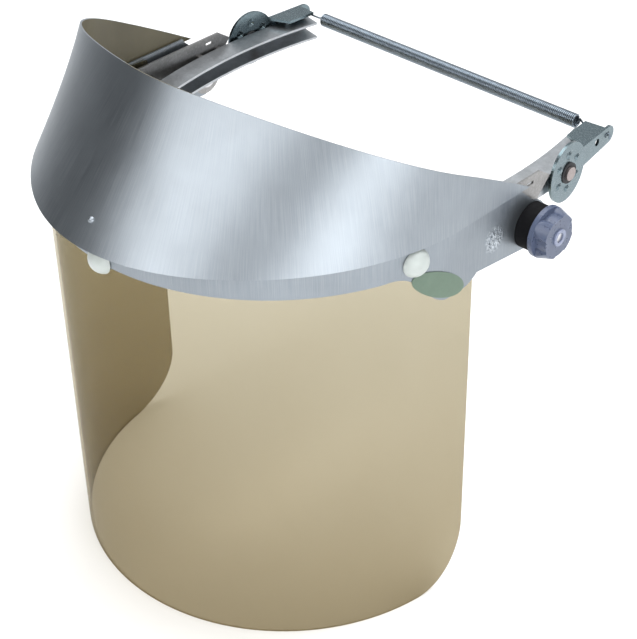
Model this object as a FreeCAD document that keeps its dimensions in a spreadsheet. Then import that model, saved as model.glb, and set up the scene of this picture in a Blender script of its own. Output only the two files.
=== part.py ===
"""Cap-mounted face shield: a parametric FreeCAD model, in millimetres.

A flared aluminium crown and a tinted visor hang on two side knobs and tilt about the line
between them. The knobs are bolted to two channel rails that grip the brim of a hard hat, and a
tension spring between two hinged rear arms pulls the rails together.

The wearer faces -Y, +X is the wearer's left and +Z is up. The origin is the middle of the hat
brim: level with the slots of both rails, midway between them, just ahead of the knobs.
"""
import FreeCAD, Part
import math
import os

import Sketcher

V = FreeCAD.Vector
X_AXIS = V(1, 0, 0)
Y_AXIS = V(0, 1, 0)
Z_AXIS = V(0, 0, 1)
SIDE_SPAN = 400          # long enough to reach through both sides of the shield

SIZES = [
    # name, value in millimetres, degrees or as a plain ratio, what it is
    ("visor_radius", 116.5, "outer radius of the bent visor"),
    ("visor_sheet", 1.5, "visor thickness"),
    ("visor_wrap", 97, "angle from the front to each rear edge"),
    ("visor_axis", -52, "Y of the axis that the visor is bent about"),
    ("visor_bottom", -214, "Z of the lower edge"),
    ("visor_top", 15, "Z of the upper edge"),
    ("visor_corner", 34, "radius of the lower rear corners"),
    ("fit_gap", 0.1, "gap between nested sheets and round turning parts"),
    ("band_sheet", 1.1, "thickness of the rim band and its ears"),
    ("band_bottom", -0.5, "Z of the lower edge of the rim band"),
    ("band_top", 16.5, "Z of the upper edge of the rim band"),
    ("ear_radius", 12.7, "radius of the ear round the knob axis"),
    ("ear_bottom", -23.5, "Z of the lowest edge of the ear"),
    ("crown_sheet", 1.2, "crown thickness"),
    ("crown_bottom", 13.5, "Z of the crown's lower edge"),
    ("crown_top", 79.3, "Z of the crown's upper edge at the front"),
    ("crown_overhang", 11, "how far the crown stands out in front of the rim band"),
    ("crown_lean", 0.79, "how far the front of the crown leans back for each mm of height"),
    ("crown_side_gap", 0.8, "gap between band and crown at each side"),
    ("crown_pinch_low", 0.08, "how much the crown's lower edge is drawn in from an ellipse"),
    ("crown_pinch_rise", 0.0058, "how much more it is drawn in for each mm of height"),
    ("crown_edge_arc", 1230, "radius of the upper edge in side view"),
    ("crown_end", -1.6, "Y where the crown's edges meet at each ear"),
    ("knob_axis_y", 3, "Y of the knob and tilt axis"),
    ("knob_axis_z", -10.5, "Z of the knob and tilt axis"),
    ("bolt_radius", 2.5, "shank of the knob bolts"),
    ("bolt_head_radius", 5.5, "head of the knob bolts"),
    ("bolt_head_height", 1.4, "head height of the knob bolts"),
    ("bracket_face", 112.8, "X of the inner face of each bracket plate"),
    ("bracket_sheet", 1.2, "bracket thickness"),
    ("bracket_top", 13.3, "Z of the upper edge of each bracket"),
    ("spacer_radius", 12, "black spacer beside each ear"),
    ("spacer_height", 7.8, "thickness of that spacer"),
    ("washer_radius", 8, "steel washer under each knob"),
    ("washer_sheet", 1, "thickness of that washer"),
    ("knob_radius", 13.5, "knob, over its corners"),
    ("knob_height", 9, "depth of the knob's grip"),
    ("insert_proud", 0.8, "how far its insert stands out"),
    ("insert_radius", 4.4, "threaded insert in the knob"),
    ("insert_height", 5, "length of that insert"),
    ("rail_web", 111.5, "X of the rail's outer face where it bows out most"),
    ("rail_bow", 280, "radius of the rail's outer face in plan"),
    ("rail_middle", 16, "Y where the rail bows out most"),
    ("rail_front_angle", 13.6, "rail's sweep ahead of that place"),
    ("rail_rear_angle", 12.3, "rail's sweep behind that place"),
    ("rail_depth", 13, "width of the rail's flanges"),
    ("rail_height", 10, "height of the rail"),
    ("rail_sheet", 1.3, "rail thickness"),
    ("rail_notch", 3.4, "radius of the notch in the rail's rear end"),
    ("arm_axis_y", 38.5, "Y of the arm rivets"),
    ("arm_axis_z", 1.2, "Z of the arm rivets"),
    ("arm_face", 111.9, "X of the arm's inner face at its rivet"),
    ("arm_toe", 5.5, "angle by which each arm turns in towards the rear"),
    ("arm_sheet", 1.5, "arm thickness"),
    ("disc_radius", 16, "round detent plate at the front of the arm"),
    ("arm_reach", 44.5, "from the rivet to the arm's rear end"),
    ("arm_top", 9.5, "upper edge of the arm above its rivet"),
    ("arm_low", -2.2, "lower edge of the arm below its rivet"),
    ("tab_depth", 11.5, "width of the flange on top of the arm"),
    ("dimple_circle", 9.5, "radius of the ring of detent dimples"),
    ("dimple_radius", 2.4, "radius of each dimple"),
    ("rivet_radius", 2, "shank of the arm rivets"),
    ("rivet_head_radius", 3.6, "outer head of the arm rivets"),
    ("spring_radius", 3.8, "outer radius of the tension spring's coil"),
    ("spring_half", 91, "half the length of the coil"),
    ("spring_y", 77, "Y of the spring"),
    ("spring_z", 5.8, "Z of the spring"),
    ("wire_radius", 0.6, "radius of the spring wire"),
    ("hook_reach", 110.9, "X that each spring hook reaches outside the arm"),
    ("button_radius", 7.3, "dome of each nylon button"),
    ("button_dome", 5.2, "height of that dome"),
    ("button_shank", 3, "radius of the button's shank"),
    ("button_angle", 77, "angle from the front to each side button"),
    ("side_button_z", 5.6, "Z of the side buttons"),
    ("front_button_z", 1.2, "Z of the front button"),
    ("keeper_radius", 6.8, "nylon keeper inside the visor"),
    ("keeper_height", 2.2, "thickness of that keeper"),
    ("label_length", 38, "oval label beside the left ear"),
    ("label_width", 13, "width of that label"),
    ("label_sheet", 0.4, "thickness of that label"),
]

doc = FreeCAD.newDocument("face_shield")
sheet = doc.addObject("Spreadsheet::Sheet", "sizes")
for row, (alias, value, meaning) in enumerate(SIZES, start=1):
    sheet.set(f"A{row}", meaning)
    sheet.set(f"B{row}", str(value))
    sheet.setAlias(f"B{row}", alias)
doc.recompute()
finished = []            # the sub-parts, in the order they are made


def size(alias):
    """A driving dimension, read back from the sheet."""
    return float(sheet.get(alias))


# ---- solids and sketches used all over ---------------------------------------------------------

def primitive(kind, place, turn=None, **sizes):
    """A Part primitive; a place or size given as text is an expression on the sheet."""
    solid = doc.addObject(kind, "primitive")
    numbers = [0 if isinstance(value, str) else value for value in place]
    solid.Placement = FreeCAD.Placement(V(*numbers), turn or FreeCAD.Rotation())
    for axis, value in zip("xyz", place):
        if isinstance(value, str):
            solid.setExpression(f"Placement.Base.{axis}", value)
    for name, value in sizes.items():
        solid.setExpression(name, str(value))
    return solid


def upright(radius, height, place, **more):
    """A cylinder along Z, standing on its place."""
    return primitive("Part::Cylinder", place, Radius=radius, Height=height, **more)


def crosswise(radius, length, place):
    """A cylinder along X, from its place towards the wearer's left."""
    turn = FreeCAD.Rotation(Y_AXIS, 90)
    return primitive("Part::Cylinder", place, turn, Radius=radius, Height=length)


def block(length, width, height, place):
    """A box with its lowest corner at its place."""
    return primitive("Part::Box", place, Length=length, Width=width, Height=height)


def joined(*solids):
    """Overlapping solids fused into one."""
    fuse = doc.addObject("Part::MultiFuse", "fuse")
    fuse.Shapes = list(solids)
    return fuse


def cut(base, *tools):
    """The base with every tool taken out of it."""
    result = doc.addObject("Part::Cut", "cut")
    result.Base = base
    result.Tool = tools[0] if len(tools) == 1 else joined(*tools)
    return result


def shared(base, tool):
    """What two solids have in common."""
    common = doc.addObject("Part::Common", "common")
    common.Base = base
    common.Tool = tool
    return common


def finish(solid, label):
    """Name a sub-part; its label is also its file's name."""
    solid.Label = label
    finished.append(solid)


def finish_pair(left, name):
    """Name a left-hand sub-part and mirror it to the wearer's right."""
    right = doc.addObject("Part::Mirroring", "mirrored")
    right.Source = left
    right.Normal = X_AXIS
    finish(left, f"{name}_left")
    finish(right, f"{name}_right")


def face_sketch(body, role, offset="0"):
    """A sketch parallel to one of the body's own origin planes."""
    sketch = body.newObject("Sketcher::SketchObject", "sketch")
    plane = next(item for item in body.Origin.OriginFeatures if item.Role == role)
    sketch.AttachmentSupport = [(plane, "")]
    sketch.MapMode = "FlatFace"
    sketch.setExpression("AttachmentOffset.Base.z", offset)
    return sketch


def draw_loop(sketch, *steps):
    """Draw a closed outline; a step is a point, or a pair: a point on an arc and the arc's end."""
    here = steps[0]
    ends = []
    for step in steps[1:] + (here,):
        if isinstance(step[0], tuple):
            through, there = step
            edge = Part.Arc(V(*here, 0), V(*through, 0), V(*there, 0))
        else:
            there = step
            edge = Part.LineSegment(V(*here, 0), V(*there, 0))
        index = sketch.addGeometry(edge, False)
        forwards = sketch.getPoint(index, 1).isEqual(V(*here, 0), 1e-6)
        ends.append((1, 2) if forwards else (2, 1))
        here = there
    for index, (_, last) in enumerate(ends):
        follower = (index + 1) % len(ends)
        first = ends[follower][0]
        sketch.addConstraint(Sketcher.Constraint("Coincident", index, last, follower, first))


def pad(body, sketch, length):
    """Raise a sketch along its own normal."""
    feature = body.newObject("PartDesign::Pad", "pad")
    feature.Profile = sketch
    feature.setExpression("Length", length)
    return feature


def moved(solid, frame, place, turn=None):
    """Put a solid at a place of its own inside a turned frame."""
    solid.Placement = frame.multiply(FreeCAD.Placement(V(*place), turn or FreeCAD.Rotation()))
    return solid


# ---- places worked out from the sheet ----------------------------------------------------------

GAP = size("fit_gap")
BAND_OUTER = size("visor_radius") + GAP + size("band_sheet")
CROWN_FRONT = BAND_OUTER + size("crown_overhang")
CROWN_SIDE = BAND_OUTER + size("crown_side_gap") + size("crown_sheet")
SPACER_FACE = BAND_OUTER + GAP / 2
WASHER_FACE = SPACER_FACE + size("spacer_height") + GAP / 2
KNOB_FACE = WASHER_FACE + size("washer_sheet") + GAP / 2
KNOB_END = KNOB_FACE + size("knob_height") + size("insert_proud")
FAR_RIGHT = -SIDE_SPAN / 2
KNOB_Y = size("knob_axis_y")
KNOB_Z = size("knob_axis_z")

ARM_TOE = FreeCAD.Rotation(Z_AXIS, size("arm_toe"))
ARM_FRAME = FreeCAD.Placement(V(size("arm_face"), size("arm_axis_y"), size("arm_axis_z")), ARM_TOE)


def side_frame(angle, radius, height):
    """A frame on the visor's cylinder at an angle from the front, its Z axis pointing outwards."""
    turn = math.radians(angle)
    outward = V(math.sin(turn), -math.cos(turn), 0)
    place = outward * radius + V(0, size("visor_axis"), height)
    return FreeCAD.Placement(place, FreeCAD.Rotation(Z_AXIS, outward))


def rail_face(y):
    """How far out the outer face of the bowed rail is, level with y."""
    bow = size("rail_bow")
    return size("rail_web") - bow + math.sqrt(bow ** 2 - (y - size("rail_middle")) ** 2)


def button_places():
    """Angle from the front and height of each button, by its side."""
    side = size("button_angle")
    low = size("side_button_z")
    return {"front": (0, size("front_button_z")), "left": (side, low), "right": (-side, low)}


def button_holes():
    """A shank hole for each button, through visor and band."""
    holes = []
    for angle, height in button_places().values():
        hole = upright("sizes.button_shank + sizes.fit_gap", 20, (0, 0, 0))
        holes.append(moved(hole, side_frame(angle, size("visor_radius") - 10, height), (0, 0, 0)))
    return holes


def on_knob_axis(radius, length, x):
    """A bar along the knob axis, from x outwards."""
    return crosswise(radius, length, (x, "sizes.knob_axis_y", "sizes.knob_axis_z"))


def knob_hole(clearance):
    """A hole for the knob bolts along the knob axis, through both sides."""
    return on_knob_axis(f"sizes.bolt_radius + {clearance}", SIDE_SPAN, FAR_RIGHT)


def knob_ring(radius, face, thickness, clearance):
    """A ring round the left knob bolt, from its inner face outwards."""
    return cut(on_knob_axis(radius, thickness, face), knob_hole(clearance))


def bent_sheet(outer, thickness, half_angle, bottom, top):
    """A sheet bent about the visor's axis, its middle facing the front."""
    place = ("0", "sizes.visor_axis", bottom)
    height = f"({top}) - ({bottom})"
    wedge = upright(outer, height, place, Angle=f"2 * ({half_angle})")
    wedge.setExpression("Placement.Rotation.Angle", f"270 - ({half_angle})")
    return cut(wedge, upright(f"{outer} - ({thickness})", height, place))


# ---- visor, rim band and crown -----------------------------------------------------------------

def visor():
    """A flat clear sheet bent to a half tube, its lower rear corners rounded."""
    curve = bent_sheet("sizes.visor_radius", "sizes.visor_sheet", "sizes.visor_wrap",
                       "sizes.visor_bottom", "sizes.visor_top")
    rear = "sizes.visor_axis - sizes.visor_radius * cos(sizes.visor_wrap) - sizes.visor_corner"
    square = block(SIDE_SPAN, "sizes.visor_corner + 1", "sizes.visor_corner",
                   (FAR_RIGHT, rear, "sizes.visor_bottom"))
    rounding = crosswise("sizes.visor_corner", SIDE_SPAN,
                         (FAR_RIGHT, rear, "sizes.visor_bottom + sizes.visor_corner"))
    finish(cut(curve, cut(square, rounding), *button_holes()), "visor")


def rim_band():
    """The sheet that carries the visor: a band round the front that ends in an ear at each knob."""
    body = doc.addObject("PartDesign::Body", "band_body")
    outer = BAND_OUTER
    inner = BAND_OUTER - size("band_sheet")
    middle = size("visor_axis")
    rear = KNOB_Y + size("ear_radius") + 1
    plan = face_sketch(body, "XY_Plane", "sizes.ear_bottom")
    draw_loop(plan, (outer, rear), (outer, middle), ((0, middle - outer), (-outer, middle)),
              (-outer, rear), (-inner, rear), (-inner, middle),
              ((0, middle - inner), (inner, middle)), (inner, rear))
    pad(body, plan, "sizes.band_top - sizes.ear_bottom")

    low = size("band_bottom")
    ear_low = size("ear_bottom")
    radius = size("ear_radius")
    beyond = SIDE_SPAN / 2
    waste = face_sketch(body, "YZ_Plane")
    draw_loop(waste, (-beyond, ear_low - 9), (-beyond, low), (-94, low), ((-84, -2), (-77.5, -7.5)),
              (-69.5, -16.5), ((-65.5, -20.3), (-60, ear_low + 0.5)), (-47, ear_low + 0.5),
              ((-41, -21.3), (-37, -18.8)), (KNOB_Y - 2, KNOB_Z - radius),
              ((KNOB_Y + radius, KNOB_Z), (KNOB_Y + 2, KNOB_Z + radius)), (-9, 15), (-16, 40),
              (beyond, 40), (beyond, ear_low - 9))
    pocket = body.newObject("PartDesign::Pocket", "pocket")
    pocket.Profile = waste
    pocket.Type = "ThroughAll"
    pocket.SideType = "Symmetric"
    weld_y, weld_z, weld_radius, weld_proud = -25, -6, 3.2, 0.25
    reach = 2 * (BAND_OUTER + weld_proud)
    bar = crosswise(weld_radius, reach, (-reach / 2, weld_y, weld_z))
    core = block(reach - 1, 20, 20, (0.5 - reach / 2, weld_y - 10, weld_z - 10))
    band = joined(body, cut(bar, core))
    finish(cut(band, knob_hole("sizes.fit_gap"), *button_holes()), "rim_band")


def crown_ring(above, inset):
    """A plan outline of the crown at a height: half a pinched ellipse, straight sides behind."""
    height = size("crown_bottom") + above
    half_width = CROWN_SIDE - inset
    half_depth = CROWN_FRONT - size("crown_lean") * above - inset
    pinch = size("crown_pinch_low") + size("crown_pinch_rise") * above
    rear = size("crown_end") + 1
    points = []
    for degrees in range(-90, 91, 10):
        turn = math.radians(degrees)
        x = half_width * math.sin(turn) * (1 - pinch * math.cos(turn) ** 2)
        y = size("visor_axis") - half_depth * math.cos(turn)
        points.append(V(x, y, height))
    front = Part.BSplineCurve()
    front.interpolate(points)
    left = V(half_width, rear, height)
    right = V(-half_width, rear, height)
    straights = [Part.makeLine(points[-1], left), Part.makeLine(left, right),
                 Part.makeLine(right, points[0])]
    return Part.Wire([front.toShape()] + straights)


def crown_block(inset):
    """A solid block with the crown's outer shape, drawn in by an inset."""
    rise = size("crown_top") - size("crown_bottom") + 8
    return Part.makeLoft([crown_ring(0, inset), crown_ring(rise, inset)], True, True)


def crown():
    """The brow guard: a flared sheet, highest in front, that runs down to a point at each ear."""
    shell = doc.addObject("Part::Feature", "crown_shell")
    shell.Shape = crown_block(0).cut(crown_block(size("crown_sheet")))
    shell.Placement = FreeCAD.Placement()

    low = size("crown_bottom")
    lean = size("crown_lean")
    lower_front = size("visor_axis") - CROWN_FRONT
    front = V(0, lower_front + lean * (size("crown_top") - low), size("crown_top"))
    rear = V(0, size("crown_end"), low)
    chord = rear - front
    down_and_forward = V(0, chord.z, -chord.y).normalize()
    arc = size("crown_edge_arc")
    centre = (front + rear) / 2 + down_and_forward * math.sqrt(arc ** 2 - (chord.Length / 2) ** 2)
    edge = crosswise("sizes.crown_edge_arc", SIDE_SPAN, (FAR_RIGHT, centre.y, centre.z))

    rivet_rise, rivet_radius = 10.5, 1.8
    rivet_y = lower_front + lean * rivet_rise + size("crown_sheet") / 2
    rivet = primitive("Part::Sphere", (0, rivet_y, low + rivet_rise), Radius=rivet_radius)
    finish(joined(shared(shell, edge), rivet), "crown")


# ---- snap buttons and label --------------------------------------------------------------------

def buttons():
    """Domed buttons that pin the visor to the band, each with a keeper inside."""
    dome = "(sizes.button_radius ^ 2 + sizes.button_dome ^ 2) / (2 * sizes.button_dome)"
    head_seat = BAND_OUTER + GAP / 2
    keeper_face = size("visor_radius") - size("visor_sheet") - 0.4
    keeper_foot = keeper_face - size("keeper_height")
    for side, (angle, height) in button_places().items():
        ball = primitive("Part::Sphere", (0, 0, f"sizes.button_dome - {dome}"), Radius=dome)
        head = shared(ball, upright("sizes.button_radius", "sizes.button_dome", (0, 0, 0)))
        shank_length = head_seat - keeper_foot + 0.6
        shank = upright("sizes.button_shank", shank_length + 0.5, (0, 0, -shank_length))
        button = moved(joined(head, shank), side_frame(angle, head_seat, height), (0, 0, 0))
        finish(button, f"button_{side}")
        disc = upright("sizes.keeper_radius", "sizes.keeper_height", (0, 0, 0))
        hole = upright("sizes.button_shank + sizes.fit_gap / 2", 20, (0, 0, -10))
        keeper = moved(cut(disc, hole), side_frame(angle, keeper_foot, height), (0, 0, 0))
        finish(keeper, f"button_keeper_{side}")


def side_label():
    """A plain oval label on the left side of the band, sloping down to the rear."""
    film = size("label_sheet") - 0.02
    curve = bent_sheet(f"{BAND_OUTER} + sizes.label_sheet", film, 90, -40, 20)
    flat = block(film, 40, 60, (BAND_OUTER + 0.02, size("visor_axis"), -40))
    slope = FreeCAD.Rotation(X_AXIS, -30)
    outline = doc.addObject("Part::Ellipse", "oval")
    outline.setExpression("MajorRadius", "sizes.label_length / 2")
    outline.setExpression("MinorRadius", "sizes.label_width / 2")
    facing_left = FreeCAD.Rotation(Y_AXIS, Z_AXIS, X_AXIS, "ZXY")
    outline.Placement = FreeCAD.Placement(V(0, -64, -12.5), slope.multiply(facing_left))
    prism = doc.addObject("Part::Extrusion", "oval_prism")
    prism.Base = outline
    prism.DirMode = "Custom"
    prism.Dir = X_AXIS
    prism.LengthFwd = SIDE_SPAN
    prism.Solid = True
    angle, height = button_places()["left"]
    round_button = upright("sizes.button_radius + 0.4", 20, (0, 0, 0))
    round_button = moved(round_button, side_frame(angle, BAND_OUTER - 10, height), (0, 0, 0))
    finish(cut(shared(joined(curve, flat), prism), round_button), "side_label")


# ---- bracket, bolt and knob on each side -------------------------------------------------------

def pivot_bracket():
    """An upright plate outside the rail that carries the knob bolt, tied to the rail by two tabs."""
    body = doc.addObject("PartDesign::Body", "bracket_body")
    top = size("bracket_top")
    boss = size("ear_radius") - 3
    outline = face_sketch(body, "YZ_Plane", "sizes.bracket_face")
    draw_loop(outline, (-58, top), (14, top), (22.3, 7.6), (KNOB_Y + boss + 1, -1.2),
              (KNOB_Y + boss, KNOB_Z), ((KNOB_Y, KNOB_Z - boss), (KNOB_Y - boss, KNOB_Z)), (-58, 1))
    pad(body, outline, "sizes.bracket_sheet")
    tabs = []
    tab_width, tab_height = 3, 3.5
    for rear in (0, 14):
        web = rail_face(rear) + GAP / 2
        length = size("bracket_face") + 0.5 - web
        tabs.append(block(length, tab_width, tab_height, (web, rear - tab_width, 1.3)))
    slot = block(SIDE_SPAN, 5, 1.8, (0, 4, 8.4))
    finish_pair(cut(joined(body, *tabs), slot, knob_hole("sizes.fit_gap / 2")), "pivot_bracket")


def knob_bolts():
    """A bolt from inside each bracket out through ear, spacer and knob, and its inner washer."""
    head = on_knob_axis("sizes.bolt_head_radius", "sizes.bolt_head_height",
                        "sizes.bracket_face - sizes.bolt_head_height")
    sunk = 0.8
    length = KNOB_END - sunk - size("bracket_face")
    shank = on_knob_axis("sizes.bolt_radius", length, "sizes.bracket_face")
    finish_pair(joined(head, shank), "knob_bolt")
    plate_face = size("bracket_face") + size("bracket_sheet")
    thickness = BAND_OUTER - size("band_sheet") - plate_face - GAP
    washer = knob_ring("sizes.washer_radius", plate_face + GAP / 2, thickness, "sizes.fit_gap / 2")
    finish_pair(washer, "ear_washer")


def spacers():
    """A thick friction ring outside each ear and a thin washer under the knob."""
    spacer = knob_ring("sizes.spacer_radius", SPACER_FACE, "sizes.spacer_height", "sizes.fit_gap")
    finish_pair(spacer, "friction_spacer")
    washer = knob_ring("sizes.washer_radius", WASHER_FACE, "sizes.washer_sheet", "sizes.fit_gap")
    finish_pair(washer, "knob_washer")


def knobs():
    """A round flange with a four-lobed grip that narrows outwards, and a threaded insert in it."""
    flange_height, core_radius, lobe_radius, first_lobe = 2.5, 10.5, 5, 53
    lobe_circle = size("knob_radius") - lobe_radius
    flange = on_knob_axis("sizes.knob_radius", flange_height, KNOB_FACE)
    grip = [on_knob_axis(core_radius, "sizes.knob_height", KNOB_FACE)]
    for quarter in range(4):
        turn = math.radians(first_lobe + 90 * quarter)
        place = (KNOB_FACE, KNOB_Y + lobe_circle * math.cos(turn), KNOB_Z + lobe_circle * math.sin(turn))
        grip.append(crosswise(lobe_radius, "sizes.knob_height", place))
    taper = primitive("Part::Cone", (KNOB_FACE, KNOB_Y, KNOB_Z), FreeCAD.Rotation(Y_AXIS, 90),
                      Radius1="sizes.knob_radius + 0.8", Radius2="sizes.knob_radius - 2.2",
                      Height="sizes.knob_height")
    insert_face = KNOB_FACE + size("knob_height") + size("insert_proud") - size("insert_height")
    recess = on_knob_axis("sizes.insert_radius + sizes.fit_gap / 2", 20, insert_face)
    knob = cut(joined(flange, shared(joined(*grip), taper)), knob_hole("sizes.fit_gap"), recess)
    finish_pair(knob, "knob")
    insert = knob_ring("sizes.insert_radius", insert_face + GAP / 2,
                       size("insert_height") - GAP / 2, "sizes.fit_gap")
    finish_pair(insert, "knob_insert")


# ---- brim rails --------------------------------------------------------------------------------

def brim_rails():
    """A bowed channel on each side, open inwards, that slides onto the edge of a hat's brim."""
    body = doc.addObject("PartDesign::Body", "rail_body")
    bow = size("rail_bow")
    mouth = bow - size("rail_depth")
    web = bow - size("rail_sheet")
    half = size("rail_height") / 2
    inside = half - size("rail_sheet")
    section = face_sketch(body, "XZ_Plane")
    draw_loop(section, (bow, -half), (bow, half), (mouth, half), (mouth, inside), (web, inside),
              (web, -inside), (mouth, -inside), (mouth, -half))
    sweep = body.newObject("PartDesign::Revolution", "revolution")
    sweep.Profile = section
    sweep.ReferenceAxis = (section, ["V_Axis"])
    sweep.setExpression("Angle", "sizes.rail_front_angle + sizes.rail_rear_angle")
    sweep.Midplane = True
    turn = (size("rail_rear_angle") - size("rail_front_angle")) / 2
    body.Placement = FreeCAD.Placement(V(0, 0, 0), FreeCAD.Rotation(Z_AXIS, turn))
    body.setExpression("Placement.Base.x", "sizes.rail_web - sizes.rail_bow")
    body.setExpression("Placement.Base.y", "sizes.rail_middle")
    rear_end = size("rail_middle") + bow * math.sin(math.radians(size("rail_rear_angle")))
    notch = crosswise("sizes.rail_notch", SIDE_SPAN, (0, rear_end, 0))
    slot = block(SIDE_SPAN, 4.5, 2, (0, rear_end - 12, -1))
    rivet_hole = crosswise("sizes.rivet_radius + sizes.fit_gap", SIDE_SPAN,
                           (0, "sizes.arm_axis_y", "sizes.arm_axis_z"))
    finish_pair(cut(body, notch, slot, rivet_hole), "brim_rail")


# ---- rear retainer: two arms, their rivets and washers, and the spring across ------------------

def arm_bar(radius, length, x):
    """A bar along the arms' own hinge axis, from x outwards."""
    return crosswise(radius, length, (x, "sizes.arm_axis_y", "sizes.arm_axis_z"))


def arm_half_space(x):
    """Everything beyond a plane parallel to the turned-in arm plate."""
    return moved(block(40, 120, 120, (0, 0, 0)), ARM_FRAME, (x, -60, -60))


def rear_arms():
    """A disc with a tail and a folded-over tab, turned in towards the rear, with six dimples."""
    body = doc.addObject("PartDesign::Body", "arm_body")
    body.Placement = ARM_FRAME
    disc = size("disc_radius")
    tail = size("arm_reach")
    top = size("arm_top") - size("arm_axis_z")
    low = size("arm_low") - size("arm_axis_z")
    tail_low = low + 2.2
    tail_round = (top - tail_low) / 2
    side = face_sketch(body, "YZ_Plane")
    draw_loop(side, (math.sqrt(disc ** 2 - top ** 2), top),
              ((-disc, 0), (math.sqrt(disc ** 2 - low ** 2), low)),
              (tail - tail_round, tail_low), ((tail, top - tail_round), (tail - tail_round, top)))
    pad(body, side, "sizes.arm_sheet")

    tab_front, tab_slope, tab_rear = 13.5, 6, 37.5
    depth = size("tab_depth")
    tab = face_sketch(body, "XY_Plane", "sizes.arm_top - sizes.arm_axis_z - sizes.arm_sheet")
    draw_loop(tab, (size("arm_sheet"), tab_front), (size("arm_sheet"), tab_rear),
              (-depth, tab_rear), (-depth, tab_front + tab_slope), (0, tab_front))
    pad(body, tab, "sizes.arm_sheet")

    facing_out = FreeCAD.Rotation(Y_AXIS, 90)
    bumps, hollows = [], []
    for sixth in range(6):
        turn = math.radians(60 * sixth + 30)
        y = size("dimple_circle") * math.cos(turn)
        z = size("dimple_circle") * math.sin(turn)
        for cones, x in ((bumps, size("arm_sheet") - 0.1), (hollows, -0.01)):
            cone = primitive("Part::Cone", (0, 0, 0), Radius1="sizes.dimple_radius",
                             Radius2="sizes.dimple_radius * 0.5", Height=0.9)
            cones.append(moved(cone, ARM_FRAME, (x, y, z), facing_out))
    eye = moved(crosswise(2, 10, (0, 0, 0)), ARM_FRAME, (-1, 27.8, 4.3), facing_out)
    wire_hole = crosswise("sizes.wire_radius * 2", SIDE_SPAN, (0, "sizes.spring_y", "sizes.spring_z"))
    arm = cut(joined(body, *bumps), arm_bar("sizes.rivet_radius + sizes.fit_gap / 2", SIDE_SPAN, 0),
              eye, wire_hole, *hollows)
    finish_pair(arm, "rear_arm")


def arm_rivets():
    """A rivet that hinges each arm on its rail, and the wedge-faced washers either side of the arm."""
    washer_radius, detent_radius, inner_head_radius, head_height = 5.6, 4.5, 2.4, 1.2
    web_inside = rail_face(size("arm_axis_y") + inner_head_radius) - size("rail_sheet") - GAP
    washer_seat = rail_face(size("arm_axis_y") - detent_radius) + GAP
    head_seat = size("arm_face") + size("arm_sheet") + 1
    inner_head = arm_bar(inner_head_radius, head_height, web_inside - head_height)
    shank = arm_bar("sizes.rivet_radius", head_seat - web_inside + 0.2, web_inside - 0.1)
    outer_head = arm_bar("sizes.rivet_head_radius", head_height, head_seat)
    finish_pair(joined(inner_head, shank, outer_head), "arm_rivet")

    bore = arm_bar("sizes.rivet_radius + sizes.fit_gap / 2", SIDE_SPAN, 0)
    outer = arm_bar(washer_radius, head_seat - GAP / 2 - size("arm_face"), size("arm_face"))
    beyond_arm = arm_half_space(size("arm_sheet") + GAP / 2)
    finish_pair(cut(shared(outer, beyond_arm), bore), "arm_washer")
    inner = arm_bar(detent_radius, 6, washer_seat)
    finish_pair(cut(inner, arm_half_space(-GAP / 2), bore), "detent_washer")


def tension_spring():
    """A close-wound spring behind the head, hooked through the tail of each arm."""
    half = size("spring_half")
    reach = size("hook_reach")
    hook = 3
    coil = crosswise("sizes.spring_radius", 2 * half, (-half, "sizes.spring_y", "sizes.spring_z"))
    wire = crosswise("sizes.wire_radius", 2 * reach, (-reach, "sizes.spring_y", "sizes.spring_z"))
    pieces = [coil, wire]
    for x in (-reach, reach):
        corner = (x, "sizes.spring_y", "sizes.spring_z")
        pieces.append(primitive("Part::Sphere", corner, Radius="sizes.wire_radius"))
        pieces.append(upright("sizes.wire_radius", hook, (x, "sizes.spring_y", f"sizes.spring_z - {hook}")))
    finish(joined(*pieces), "tension_spring")


# ---- build, check and write --------------------------------------------------------------------

visor()
rim_band()
crown()
buttons()
side_label()
pivot_bracket()
knob_bolts()
spacers()
knobs()
brim_rails()
rear_arms()
arm_rivets()
tension_spring()
doc.recompute()

for item in doc.Objects:
    if {"Invalid", "Error"} & set(item.State):
        raise RuntimeError(f"{item.Label} did not build: {item.State}")

os.makedirs("parts", exist_ok=True)
for part in finished:
    if part.Shape.isNull() or not part.Shape.isValid():
        raise RuntimeError(f"{part.Label} has no valid shape")
    part.Shape.exportStep(f"parts/{part.Label}.step")
    print(part.Label, len(part.Shape.Solids), round(part.Shape.Volume))
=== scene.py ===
import math
import bpy
from mathutils import Matrix, Vector


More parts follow.
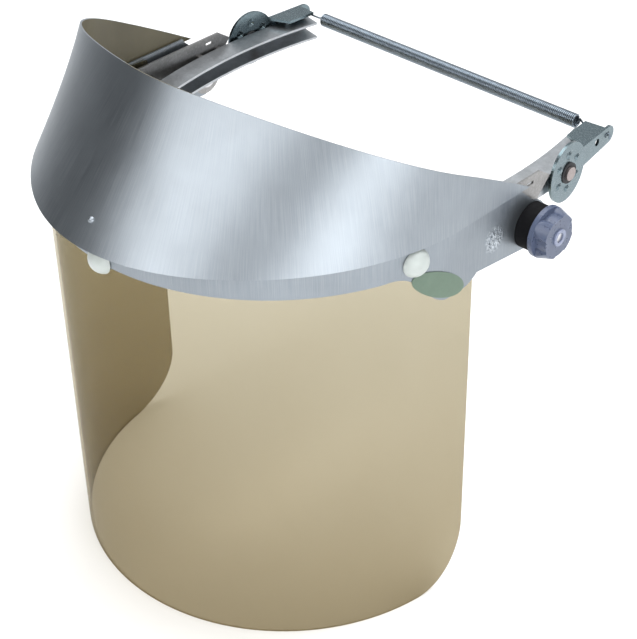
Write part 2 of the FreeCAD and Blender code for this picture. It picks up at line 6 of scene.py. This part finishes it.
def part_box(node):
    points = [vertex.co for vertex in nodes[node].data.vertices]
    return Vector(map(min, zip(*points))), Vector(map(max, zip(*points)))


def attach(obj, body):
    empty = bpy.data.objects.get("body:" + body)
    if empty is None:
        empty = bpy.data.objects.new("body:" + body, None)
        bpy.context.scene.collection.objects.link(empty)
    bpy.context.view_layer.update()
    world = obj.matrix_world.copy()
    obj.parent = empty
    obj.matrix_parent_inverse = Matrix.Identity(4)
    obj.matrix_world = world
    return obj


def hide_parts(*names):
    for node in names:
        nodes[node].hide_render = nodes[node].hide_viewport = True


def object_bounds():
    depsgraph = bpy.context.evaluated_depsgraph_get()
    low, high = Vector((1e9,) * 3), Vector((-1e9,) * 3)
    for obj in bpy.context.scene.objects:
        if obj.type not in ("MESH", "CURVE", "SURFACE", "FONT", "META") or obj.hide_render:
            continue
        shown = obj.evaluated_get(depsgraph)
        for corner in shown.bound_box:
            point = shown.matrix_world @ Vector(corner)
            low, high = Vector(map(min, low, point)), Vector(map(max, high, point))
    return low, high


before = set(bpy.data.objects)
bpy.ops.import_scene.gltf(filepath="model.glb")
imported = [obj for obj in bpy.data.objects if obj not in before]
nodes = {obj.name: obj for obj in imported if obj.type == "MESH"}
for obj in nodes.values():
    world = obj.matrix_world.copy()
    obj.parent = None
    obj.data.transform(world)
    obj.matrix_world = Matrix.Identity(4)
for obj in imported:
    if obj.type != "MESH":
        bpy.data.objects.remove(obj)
cad_low, cad_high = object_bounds()

MM = 0.001
VISOR_AXIS = Vector((0, -52 * MM, 0))    # the upright axis that visor, band and crown bend about
BEND_RADIUS = 117 * MM                   # of visor, band and crown about that axis
PICTURE_WIDTH = 637                      # the camera's focal length is in pixels of this width
WELD_PLACE = (0, -25 * MM, -6 * MM)      # of the spot weld on each ear, in side view


# ---- camera, light and floor -------------------------------------------------------------------

def place_camera(place, azimuth, elevation, roll, focal_pixels):
    """A camera that looks from an azimuth (0 looks along +Y) and an elevation, tipped by a roll."""
    turn, rise, tip = (math.radians(angle) for angle in (azimuth, elevation, roll))
    back = Vector((math.sin(turn) * math.cos(rise), -math.cos(turn) * math.cos(rise), math.sin(rise)))
    level = Vector((math.cos(turn), math.sin(turn), 0))
    above = back.cross(level)
    right = level * math.cos(tip) + above * math.sin(tip)
    upward = above * math.cos(tip) - level * math.sin(tip)
    data = bpy.data.cameras.new("camera")
    data.sensor_fit = "HORIZONTAL"
    data.sensor_width = 36
    data.lens = focal_pixels * data.sensor_width / PICTURE_WIDTH
    camera = bpy.data.objects.new("camera", data)
    camera.matrix_world = Matrix((
        (right.x, upward.x, back.x, place[0]),
        (right.y, upward.y, back.y, place[1]),
        (right.z, upward.z, back.z, place[2]),
        (0, 0, 0, 1),
    ))
    bpy.context.scene.collection.objects.link(camera)
    bpy.context.scene.camera = camera


def softbox(name, azimuth, elevation, distance, width, height, power, tint=(1, 1, 1)):
    """A rectangular lamp on a sphere round the object, facing its middle."""
    aim = Vector((0, -0.06, -0.04))
    turn, rise = math.radians(azimuth), math.radians(elevation)
    outward = Vector((math.sin(turn) * math.cos(rise), -math.cos(turn) * math.cos(rise), math.sin(rise)))
    data = bpy.data.lights.new(name, "AREA")
    data.shape = "RECTANGLE"
    data.size, data.size_y = width, height
    data.energy = power
    data.color = tint
    lamp = bpy.data.objects.new(name, data)
    lamp.location = aim + outward * distance
    lamp.rotation_euler = outward.to_track_quat("Z", "Y").to_euler()
    bpy.context.scene.collection.objects.link(lamp)


def room():
    """A bright grey room that is darker in front of the object, as a studio is round its lamps."""
    world = bpy.data.worlds.new("room")
    bpy.context.scene.world = world
    world.use_nodes = True
    tree = world.node_tree
    background = tree.nodes["Background"]
    direction = tree.nodes.new("ShaderNodeTexCoord").outputs["Generated"]
    side = tree.nodes.new("ShaderNodeVectorMath")
    side.operation = "DOT_PRODUCT"
    side.inputs[1].default_value = (-0.62, -0.78, 0.1)
    shade = tree.nodes.new("ShaderNodeValToRGB")
    shade.color_ramp.elements[0].position = 0.35
    shade.color_ramp.elements[0].color = (0.86, 0.88, 0.9, 1)
    shade.color_ramp.elements[1].position = 0.8
    shade.color_ramp.elements[1].color = (0.012, 0.014, 0.016, 1)
    tree.links.new(direction, side.inputs[0])
    tree.links.new(side.outputs["Value"], shade.inputs["Fac"])
    tree.links.new(shade.outputs["Color"], background.inputs["Color"])
    background.inputs["Strength"].default_value = 0.8


def floor():
    """A wide pale floor just under the visor."""
    half = 6
    mesh = bpy.data.meshes.new("floor")
    corners = [(-half, -half, 0), (half, -half, 0), (half, half, 0), (-half, half, 0)]
    mesh.from_pydata(corners, [], [(0, 1, 2, 3)])
    plane = bpy.data.objects.new("floor", mesh)
    plane.location.z = cad_low[2] - 0.4 * MM
    bpy.context.scene.collection.objects.link(plane)
    paper = Surface("floor_paper")
    fibres = paper.noise(paper.place(), 3, 2)
    paper.feed("Base Color", paper.ramp(fibres, (0.3, 0.93), (0.7, 0.96)))
    paper.set("Roughness", 0.9)
    mesh.materials.append(paper.material)


# ---- materials ---------------------------------------------------------------------------------

class Surface:
    """A material made of nodes; most methods add one node and return its output."""

    def __init__(self, name):
        self.material = bpy.data.materials.new(name)
        self.material.use_nodes = True
        self.tree = self.material.node_tree
        self.shader = self.tree.nodes["Principled BSDF"]

    def add(self, kind, **settings):
        node = self.tree.nodes.new(kind)
        for name, value in settings.items():
            setattr(node, name, value)
        return node

    def connect(self, value, socket):
        """Feed a socket from another node's output, or set it to a plain value."""
        if isinstance(value, bpy.types.NodeSocket):
            self.tree.links.new(value, socket)
        else:
            socket.default_value = value

    def set(self, name, value):
        self.shader.inputs[name].default_value = value

    def feed(self, name, output):
        self.tree.links.new(output, self.shader.inputs[name])

    def place(self):
        """Where the point is in the object's own metres."""
        return self.add("ShaderNodeTexCoord").outputs["Object"]

    def scaled(self, vector, x, y, z):
        node = self.add("ShaderNodeVectorMath", operation="MULTIPLY")
        self.connect(vector, node.inputs[0])
        node.inputs[1].default_value = (x, y, z)
        return node.outputs["Vector"]

    def maths(self, operation, *values):
        node = self.add("ShaderNodeMath", operation=operation)
        for value, socket in zip(values, node.inputs):
            self.connect(value, socket)
        return node.outputs["Value"]

    def product(self, first, second):
        return self.maths("MULTIPLY", first, second)

    def height(self):
        """How high the point is, in the object's own metres."""
        split = self.add("ShaderNodeSeparateXYZ")
        self.connect(self.place(), split.inputs[0])
        return split.outputs["Z"]

    def from_axis(self):
        """The point as seen from the visor's axis: sideways, forwards and upwards."""
        node = self.add("ShaderNodeVectorMath", operation="SUBTRACT")
        self.connect(self.place(), node.inputs[0])
        node.inputs[1].default_value = VISOR_AXIS
        return node.outputs["Vector"]

    def unrolled(self, along, up):
        """The bent sheet laid flat: distance round it times along, and height times up."""
        split = self.add("ShaderNodeSeparateXYZ")
        self.connect(self.from_axis(), split.inputs[0])
        angle = self.maths("ARCTAN2", split.outputs["X"], self.product(split.outputs["Y"], -1.0))
        join = self.add("ShaderNodeCombineXYZ")
        self.connect(self.product(angle, BEND_RADIUS * along), join.inputs["X"])
        self.connect(self.product(split.outputs["Z"], up), join.inputs["Y"])
        return join.outputs["Vector"]

    def noise(self, vector, scale, detail=3, roughness=0.5):
        node = self.add("ShaderNodeTexNoise")
        self.connect(vector, node.inputs["Vector"])
        node.inputs["Scale"].default_value = scale
        node.inputs["Detail"].default_value = detail
        node.inputs["Roughness"].default_value = roughness
        return node.outputs["Fac"]

    def ramp(self, value, low, high):
        """A colour or grey that goes from one (position, colour) to another."""
        node = self.add("ShaderNodeValToRGB")
        for element, (position, colour) in zip(node.color_ramp.elements, (low, high)):
            element.position = position
            element.color = (*colour, 1) if isinstance(colour, tuple) else (colour, colour, colour, 1)
        self.connect(value, node.inputs["Fac"])
        return node.outputs["Color"]

    def mix(self, share, first, second):
        """One colour blended into another by a share."""
        node = self.add("ShaderNodeMix", data_type="RGBA")
        colours = [socket for socket in node.inputs if socket.type == "RGBA"]
        self.connect(share, node.inputs["Factor"])
        self.connect(first, colours[0])
        self.connect(second, colours[1])
        return next(socket for socket in node.outputs if socket.type == "RGBA")

    def bump(self, height, depth, strength=1.0):
        """Raise the surface by height times depth, in metres."""
        node = self.add("ShaderNodeBump")
        node.inputs["Distance"].default_value = depth
        node.inputs["Strength"].default_value = strength
        self.connect(height, node.inputs["Height"])
        self.feed("Normal", node.outputs["Normal"])


def grey(level):
    return (level, level, level)


def painted_inner_reflection(sheet, blotches, tone, colour):
    """Give the face that looks towards the visor's axis a dull, blotched olive colour, a painted
    reflection of the tinted visor and the floor, and leave the outer face bare metal.
    """
    faces_out = sheet.add("ShaderNodeVectorMath", operation="DOT_PRODUCT")
    sheet.connect(sheet.scaled(sheet.from_axis(), 1, 1, 0), faces_out.inputs[0])
    sheet.connect(sheet.add("ShaderNodeTexCoord").outputs["Normal"], faces_out.inputs[1])
    # painted reflection: the inner face turns a dull dark olive with lighter blotches, in place of the
    # tinted visor and floor reflected in it
    inner = sheet.maths("LESS_THAN", faces_out.outputs["Value"], -0.03)
    lighter_reflection = tuple(channel * 1.35 for channel in colour)
    reflection_tone = sheet.mix(sheet.ramp(blotches, (0.3, 0.0), (0.7, 1.0)), (*colour, 1), (*lighter_reflection, 1))
    sheet.feed("Metallic", sheet.maths("SUBTRACT", 1.0, inner))
    return sheet.mix(inner, tone, reflection_tone)


def weld_pits(sheet):
    """A round patch of small pits where each ear is spot welded: 1 in a pit and 0 elsewhere."""
    away = sheet.add("ShaderNodeVectorMath", operation="DISTANCE")
    sheet.connect(sheet.scaled(sheet.place(), 0, 1, 1), away.inputs[0])
    away.inputs[1].default_value = WELD_PLACE
    patch = sheet.ramp(away.outputs["Value"], (4.2 * MM, 1.0), (4.8 * MM, 0.0))
    dimples = sheet.ramp(sheet.noise(sheet.place(), 700, 1), (0.42, 0.0), (0.62, 1.0))
    return sheet.product(patch, dimples)


def satin_sheet(name, colour, inside=None, welded=False):
    """Satin aluminium, brushed upright, blotched and scuffed; with a painted reflection on its inner
    face, or welded, if asked.
    """
    sheet = Surface(name)
    streaks = sheet.noise(sheet.unrolled(2200, 40), 1, 4, 0.6)
    blotches = sheet.noise(sheet.place(), 28, 4, 0.55)
    scuffs = sheet.noise(sheet.unrolled(900, 160), 1, 2, 0.5)
    dark = tuple(channel * 0.86 for channel in colour)
    tone = sheet.mix(sheet.ramp(blotches, (0.35, 0.0), (0.7, 1.0)), (*dark, 1), (*colour, 1))
    tone = sheet.mix(sheet.ramp(streaks, (0.4, 0.0), (0.75, 0.1)), tone, (0.9, 0.92, 0.94, 1))
    relief = sheet.maths("ADD", streaks, sheet.product(scuffs, 0.4))
    sheet.set("Metallic", 1.0)
    # a painted reflection of the tinted visor and floor on the inner face
    if inside:
        tone = painted_inner_reflection(sheet, blotches, tone, inside)
    if welded:
        pits = weld_pits(sheet)
        tone = sheet.mix(pits, tone, (0.5, 0.54, 0.58, 1))
        relief = sheet.maths("ADD", relief, sheet.product(pits, 12.0))
    sheet.feed("Base Color", tone)
    sheet.feed("Roughness", sheet.maths("MULTIPLY_ADD", streaks, 0.16, 0.35))
    sheet.bump(relief, 0.05 * MM, 0.5)
    return sheet.material


def plated(name, colour, roughness, grain=900, patch=0.8):
    """Plated or milled metal: uneven tone in small patches, and fine grain."""
    metal = Surface(name)
    grains = metal.noise(metal.place(), grain, 3, 0.6)
    patches = metal.noise(metal.place(), 120, 3, 0.6)
    dark = tuple(channel * patch for channel in colour)
    tone = metal.mix(metal.ramp(patches, (0.35, 0.0), (0.65, 1.0)), (*dark, 1), (*colour, 1))
    tone = metal.mix(metal.ramp(grains, (0.45, 0.0), (0.8, 0.15)), tone, (0.92, 0.93, 0.94, 1))
    metal.feed("Base Color", tone)
    metal.set("Metallic", 1.0)
    metal.feed("Roughness", metal.ramp(grains, (0.3, grey(roughness)), (0.7, grey(roughness + 0.08))))
    metal.bump(grains, 0.012 * MM, 0.3)
    return metal.material


def moulded(name, colour, roughness, clear=0.0, glow=0.0, bend=1.5):
    """Moulded plastic or rubber: slight mottling and a fine skin texture."""
    plastic = Surface(name)
    skin = plastic.noise(plastic.place(), 500, 3, 0.6)
    clouds = plastic.noise(plastic.place(), 140, 3, 0.5)
    dark = tuple(channel * 0.82 for channel in colour)
    plastic.feed("Base Color", plastic.mix(clouds, (*dark, 1), (*colour, 1)))
    plastic.feed("Roughness", plastic.ramp(skin, (0.3, grey(roughness)), (0.7, grey(roughness + 0.12))))
    plastic.set("Transmission Weight", clear)
    plastic.set("Subsurface Weight", glow)
    plastic.set("Subsurface Radius", (1.0, 1.0, 1.0))
    plastic.set("Subsurface Scale", 2 * MM)
    plastic.set("IOR", bend)
    plastic.bump(skin, 0.02 * MM, 0.3)
    return plastic.material


def clear_sheet(name, upper, shaded_foot_tint):
    """Smoke-tinted clear sheet whose tint deepens towards its foot as painted shade: each face passes the
    tint, and mirrors.
    """
    sheet = Surface(name)
    haze = sheet.noise(sheet.unrolled(30, 12), 1, 3, 0.5)
    wipes = sheet.noise(sheet.unrolled(400, 30), 1, 3, 0.6)
    # painted shade: the tint darkens towards the foot, in place of the shaded floor seen through the
    # sheet; the haze varies it at random
    depth = sheet.maths("DIVIDE", sheet.height(), cad_low[2])
    foot_shade_and_haze = sheet.maths("ADD", depth, sheet.product(haze, 0.2))
    tint = sheet.ramp(foot_shade_and_haze, (0.05, upper), (0.9, shaded_foot_tint))
    passed = sheet.add("ShaderNodeBsdfTransparent")
    sheet.connect(tint, passed.inputs["Color"])
    sheet.set("Base Color", (0.30, 0.27, 0.18, 1))
    sheet.set("IOR", 1.58)
    sheet.feed("Roughness", sheet.ramp(wipes, (0.4, grey(0.06)), (0.8, grey(0.16))))
    slant = sheet.add("ShaderNodeLayerWeight").outputs["Facing"]
    share = sheet.maths("MULTIPLY_ADD", sheet.maths("POWER", slant, 5.0), 0.35, 0.035)
    blend = sheet.add("ShaderNodeMixShader")
    sheet.connect(share, blend.inputs["Fac"])
    sheet.connect(passed.outputs["BSDF"], blend.inputs[1])
    sheet.connect(sheet.shader.outputs["BSDF"], blend.inputs[2])
    output = sheet.tree.nodes["Material Output"]
    sheet.connect(blend.outputs["Shader"], output.inputs["Surface"])
    return sheet.material


def paint(material, *names):
    """Give every CAD node whose name starts with one of the names a material."""
    for name, node in nodes.items():
        if name.startswith(names):
            for slot in node.material_slots:
                slot.link = "OBJECT"
                slot.material = material


# ---- pieces ------------------------------------------------------------------------------------

def spring():
    """The close-wound spring as one wire: hook, coil and hook, through both arms."""
    low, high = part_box("tension_spring")
    wire = 0.55 * MM
    outer = 3.8 * MM
    centre = Vector((0, (low[1] + high[1]) / 2, (low[2] + high[2]) / 2))
    half = 90.6 * MM
    pitch = 2 * wire * 1.02
    turns = int(2 * half / pitch)
    steps = 16
    radius = outer - wire
    points = []
    for index in range(turns * steps + 1):
        turn = 2 * math.pi * index / steps
        x = -half + pitch * index / steps
        points.append(centre + Vector((x, radius * math.cos(turn), radius * math.sin(turn))))
    reach = high[0] - wire
    lead = [
        Vector((-reach, 0, -2.4 * MM)),
        Vector((-reach, 0, -0.8 * MM)),
        Vector((-reach + 0.6 * MM, 0, 0)),
        Vector((-half - 4 * MM, 0, 0)),
        Vector((-half - 1.6 * MM, radius * 0.5, 0)),
    ]
    tail = [Vector((-point.x, point.y, point.z)) for point in reversed(lead)]
    path = [centre + point for point in lead] + points + [centre + point for point in tail]
    curve = bpy.data.curves.new("spring_wire", "CURVE")
    curve.dimensions = "3D"
    line = curve.splines.new("POLY")
    line.points.add(len(path) - 1)
    for point, place in zip(line.points, path):
        point.co = (*place, 1)
    curve.bevel_depth = wire
    curve.bevel_resolution = 2
    curve.use_fill_caps = True
    coil = bpy.data.objects.new("spring_wire", curve)
    bpy.context.scene.collection.objects.link(coil)
    curve.materials.append(plated("spring_zinc", (0.20, 0.24, 0.28), 0.25, 1500))
    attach(coil, "rear_retainer")
    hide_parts("tension_spring")


# ---- the scene ---------------------------------------------------------------------------------

place_camera((0.5137, -0.5508, 0.4212), 44.36, 35.88, -1.19, 1633)
bpy.context.scene.view_settings.view_transform = "Standard"
room()
floor()
softbox("key_light", -2, 37, 1.6, 0.95, 0.8, 11)
softbox("side_light", 66, 10, 1.6, 1.3, 0.6, 11)
softbox("top_light", 180, 75, 1.8, 1.6, 1.6, 40)

# the crown's inner face gets a dark olive painted reflection of the tinted visor and the floor
paint(satin_sheet("crown_satin", (0.29, 0.32, 0.35), inside=(0.085, 0.074, 0.042)), "crown")
paint(satin_sheet("band_satin", (0.27, 0.30, 0.33), welded=True), "rim_band")
# the second tint, at the visor's foot, is darker as painted shade
paint(clear_sheet("visor_smoke", (0.68, 0.648, 0.56), (0.62, 0.575, 0.475)), "visor")
paint(moulded("label_film", (0.12, 0.18, 0.13), 0.5), "side_label")
paint(plated("rail_mill", (0.42, 0.44, 0.46), 0.3), "brim_rail")
paint(plated("bracket_mill", (0.29, 0.285, 0.28), 0.34), "pivot_bracket")
paint(plated("bolt_zinc", (0.6, 0.6, 0.62), 0.25), "knob_bolt", "ear_washer", "knob_washer")
paint(moulded("spacer_rubber", (0.004, 0.004, 0.005), 0.75, bend=1.25), "friction_spacer")
paint(moulded("knob_plastic", (0.10, 0.125, 0.20), 0.25, clear=0.15, glow=0.3), "knob_left", "knob_right")
paint(moulded("insert_nylon", (0.24, 0.27, 0.38), 0.3, glow=0.3), "knob_insert")
paint(moulded("button_nylon", (0.50, 0.54, 0.52), 0.3, glow=0.5), "button")
paint(plated("arm_zinc", (0.14, 0.19, 0.21), 0.22, 1400, 0.88), "rear_arm")
paint(plated("rivet_steel", (0.35, 0.30, 0.29), 0.35), "arm_rivet")
paint(moulded("fibre_washer", (0.02, 0.02, 0.022), 0.6), "arm_washer", "detent_washer")
spring()
